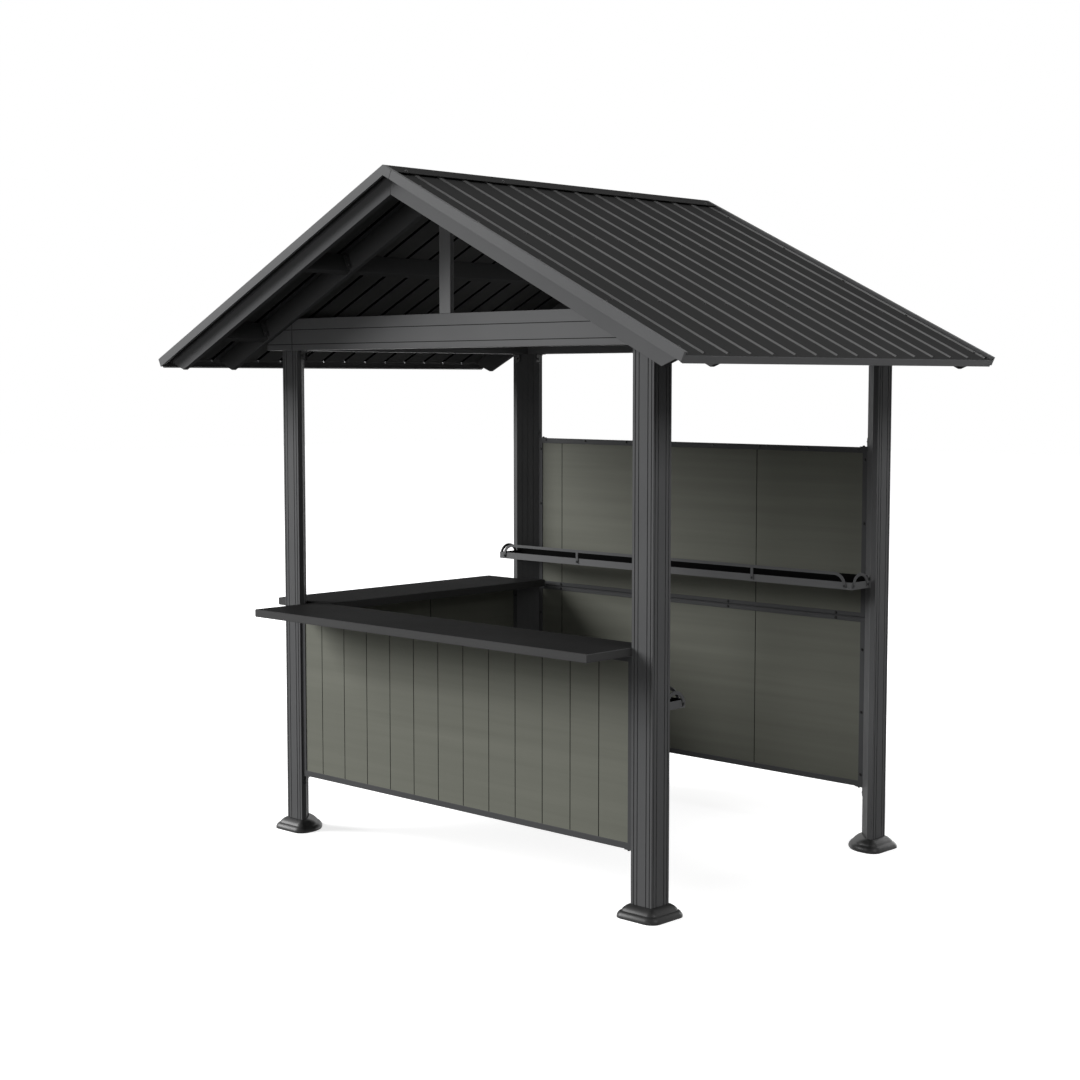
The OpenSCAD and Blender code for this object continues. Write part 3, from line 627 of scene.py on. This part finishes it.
# Near black worktop coat, partly painted shade.
shaded_worktop_coat = powder_coat("shaded_worktop_coat", (0.016, 0.016, 0.016), (0.020, 0.020, 0.020), 0.6, shine=0.002)
# Pale coat on the eased folds, a painted highlight.
fold_highlight_coat = powder_coat("fold_highlight_coat", (0.120, 0.120, 0.120), (0.145, 0.145, 0.145), 0.4)
board_edge = 0.0015
shaded_worktop_paint, fold_highlight_paint = 1, 2
level, folded = 0.95, 0.2
for board in ("front_counter", "left_counter"):
    piece = eased(board, board_edge, counter_coat)
    piece.data.materials.append(shaded_worktop_coat)
    piece.data.materials.append(fold_highlight_coat)
    for polygon in piece.data.polygons:
        if polygon.normal.z > level:
            polygon.material_index = shaded_worktop_paint
        elif polygon.normal.z > folded:
            polygon.material_index = fold_highlight_paint


# Shelves: trays of folded steel between the posts, with rails of bent flat bar bolted to their edges.
# The insides of the trays are painted near black as shade, and a low strip along the back is painted the same
# near black.
tray_end, tray_depth, tray_sheet, tray_skin = 1.037, 0.126, 0.002, 0.001
strip_height, strip_thickness, strip_inset, strip_edge = 0.022, 0.002, 0.004, 0.0004
# Near black coat painted inside the trays and on the back strips as shade.
tray_shade_coat = powder_coat("tray_shade_coat", (0.004, 0.004, 0.004), (0.006, 0.006, 0.006), 0.7, shine=0.002)
for tray, outward in (("upper_shelf", -1), ("lower_shelf", 1)):
    # The rails take the posts' coat, darker partly as painted shade.
    for place in nodes[tray + "_rails"].material_slots:
        place.material = shaded_post_coat
    piece = plain_copy(tray, charcoal_coat)
    piece.data.materials.append(tray_shade_coat)
    low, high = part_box(tray)
    for polygon in piece.data.polygons:
        middle = polygon.center
        if (low.y + tray_skin < middle.y < high.y - tray_skin
                and low.z + tray_skin < middle.z < high.z - tray_skin
                and abs(middle.x) < tray_end - tray_skin):
            polygon.material_index = 1
    back_strip = bmesh.new()
    tray_front = low.y if outward < 0 else high.y
    strip_y = tray_front - outward * (tray_depth - tray_sheet - strip_thickness / 2)
    bmesh.ops.create_cube(
        back_strip, size=1,
        matrix=Matrix.Translation((0, strip_y, high.z))
        @ Matrix.Diagonal((2 * (tray_end - strip_inset), strip_thickness, 2 * strip_height, 1)))
    bmesh.ops.bevel(
        back_strip, geom=back_strip.edges[:], offset=strip_edge, offset_type="OFFSET", segments=1,
        profile=0.5, affect="EDGES", clamp_overlap=True, material=-1)
    new_piece(tray + "_back_strip", back_strip, tray_shade_coat)


def dome_heads(bm, places, radius):
    tiers = ((1, 0.8, 0, 0.45), (0.8, 0.35, 0.45, 0.75))
    for point, outward in places:
        seat = Matrix.Translation(point) @ Vector(outward).to_track_quat("Z", "Y").to_matrix().to_4x4()
        for low, high, low_z, high_z in tiers:
            bmesh.ops.create_cone(
                bm, cap_ends=True, segments=12, radius1=low * radius, radius2=high * radius,
                depth=(high_z - low_z) * radius,
                matrix=seat @ Matrix.Translation((0, 0, (high_z + low_z) / 2 * radius)))


shelf_bolt_drop, shelf_bolt_radius = 0.015, 0.0055
bar_half, bar_thickness = 0.0065, 0.004
rail_inset, hoop_reach = 0.028, 0.057
leg_x = tray_end - rail_inset - bar_half
leg_xs = (-leg_x, -tray_end / 2, 0, tray_end / 2, leg_x)
hoop_half = hoop_reach - bar_half
for tray, outward in (("upper_shelf", -1), ("lower_shelf", 1)):
    low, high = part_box(tray + "_rails")
    bolt_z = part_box(tray)[1].z - shelf_bolt_drop
    front_face = low.y if outward < 0 else high.y
    hoop_middle = front_face - outward * (bar_thickness + tray_depth / 2)
    bolts = [((x, front_face, bolt_z), (0, outward, 0)) for x in leg_xs]
    bolts += [
        ((side * high.x, hoop_middle + end * hoop_half, bolt_z), (side, 0, 0))
        for side in (-1, 1) for end in (-1, 1)]
    rail_bolts = bmesh.new()
    dome_heads(rail_bolts, bolts, shelf_bolt_radius)
    new_piece(tray + "_bolts", rail_bolts, black_steel)


# Studio: a pale floor that keeps a faint shadow and runs out to white, a large soft light from the front
# left, weaker ones from the right, front and back, and an even surround. The camera stands where the
# photograph's stood.
scene = bpy.context.scene
scene.view_settings.view_transform = "Standard"

floor_reach = 40
floor_mesh = bmesh.new()
bmesh.ops.create_grid(floor_mesh, x_segments=1, y_segments=1, size=floor_reach)
floor_data = bpy.data.meshes.new("floor")
floor_mesh.to_mesh(floor_data)
floor_mesh.free()
floor = bpy.data.objects.new("floor", floor_data)
scene.collection.objects.link(floor)


def shown_rays(owner):
    # One for what the camera sees, straight or by reflection or through glass, and zero for other rays.
    link = owner.node_tree.links.new
    path = node_of(owner, "ShaderNodeLightPath")
    indirect = node_of(owner, "ShaderNodeMath", operation="MAXIMUM")
    link(path.outputs["Is Glossy Ray"], indirect.inputs[0])
    link(path.outputs["Is Transmission Ray"], indirect.inputs[1])
    shown = node_of(owner, "ShaderNodeMath", operation="MAXIMUM")
    link(path.outputs["Is Camera Ray"], shown.inputs[0])
    link(indirect.outputs["Value"], shown.inputs[1])
    return shown.outputs["Value"]


floor_bounce, floor_tone = 0.05, 0.8
shadow_reach, white_from = 1.8, 6.0
near_glow, far_glow = 0.72, 1.0
floor_paint = bpy.data.materials.new("floor_paint")
floor_paint.use_nodes = True
floor_nodes = floor_paint.node_tree.nodes
floor_link = floor_paint.node_tree.links.new
floor_nodes.remove(floor_nodes["Principled BSDF"])
floor_shown = shown_rays(floor_paint)
matt = node_of(floor_paint, "ShaderNodeBsdfDiffuse")
matt_tone = node_of(floor_paint, "ShaderNodeMapRange", **{"To Min": floor_bounce, "To Max": floor_tone})
floor_link(floor_shown, matt_tone.inputs["Value"])
floor_link(matt_tone.outputs["Result"], matt.inputs["Color"])
from_middle = node_of(floor_paint, "ShaderNodeVectorMath", operation="LENGTH")
floor_link(node_of(floor_paint, "ShaderNodeTexCoord").outputs["Object"], from_middle.inputs[0])
run_out = node_of(floor_paint, "ShaderNodeMapRange", **{
    "From Min": shadow_reach, "From Max": white_from, "To Min": near_glow, "To Max": far_glow})
floor_link(from_middle.outputs["Value"], run_out.inputs["Value"])
glow_level = node_of(floor_paint, "ShaderNodeMath", operation="MULTIPLY")
floor_link(floor_shown, glow_level.inputs[0])
floor_link(run_out.outputs["Result"], glow_level.inputs[1])
glow = node_of(floor_paint, "ShaderNodeEmission", Color=(1, 1, 1, 1))
floor_link(glow_level.outputs["Value"], glow.inputs["Strength"])
both = node_of(floor_paint, "ShaderNodeAddShader")
floor_link(matt.outputs["BSDF"], both.inputs[0])
floor_link(glow.outputs["Emission"], both.inputs[1])
floor_link(both.outputs["Shader"], floor_nodes["Material Output"].inputs["Surface"])
floor_data.materials.append(floor_paint)

surround, backdrop = 0.13, 1.0
world = bpy.data.worlds.new("studio")
scene.world = world
world.use_nodes = True
background = world.node_tree.nodes["Background"]
background.inputs["Color"].default_value = (1, 1, 1, 1)
sky_level = node_of(world, "ShaderNodeMapRange", **{"To Min": surround, "To Max": backdrop})
world.node_tree.links.new(shown_rays(world), sky_level.inputs["Value"])
world.node_tree.links.new(sky_level.outputs["Result"], background.inputs["Strength"])


def softbox(name, position, target, size, power):
    light = bpy.data.lights.new(name, "AREA")
    light.shape = "SQUARE"
    light.size = size
    light.energy = power
    lamp = bpy.data.objects.new(name, light)
    lamp.location = position
    lamp.rotation_euler = (Vector(target) - Vector(position)).to_track_quat("-Z", "Y").to_euler()
    scene.collection.objects.link(lamp)


softbox("left_softbox", (-15.9, -10.2, 9.25), (0, -0.3, 1.6), 9.75, 5900)
softbox("right_softbox", (7.2, -0.3, 5.9), (0, 0, 1.5), 3.0, 230)
softbox("front_softbox", (3.0, -12.0, 2.2), (0, -0.9, 1.5), 5.0, 170)
softbox("back_softbox", (0.5, 10.0, 2.0), (0, 1.0, 1.5), 5.0, 420)

photo_lens = 62.32
photo_sensor = 36.0
photo_place = (5.4638, -5.8311, 1.9974)
photo_yaw = math.radians(43.753)
photo_pitch = math.radians(-4.861)
camera_data = bpy.data.cameras.new("camera")
camera_data.lens = photo_lens
camera_data.sensor_width = photo_sensor
camera = bpy.data.objects.new("camera", camera_data)
camera.location = photo_place
camera.rotation_euler = Euler((math.pi / 2 + photo_pitch, 0, photo_yaw))
scene.collection.objects.link(camera)
scene.camera = camera
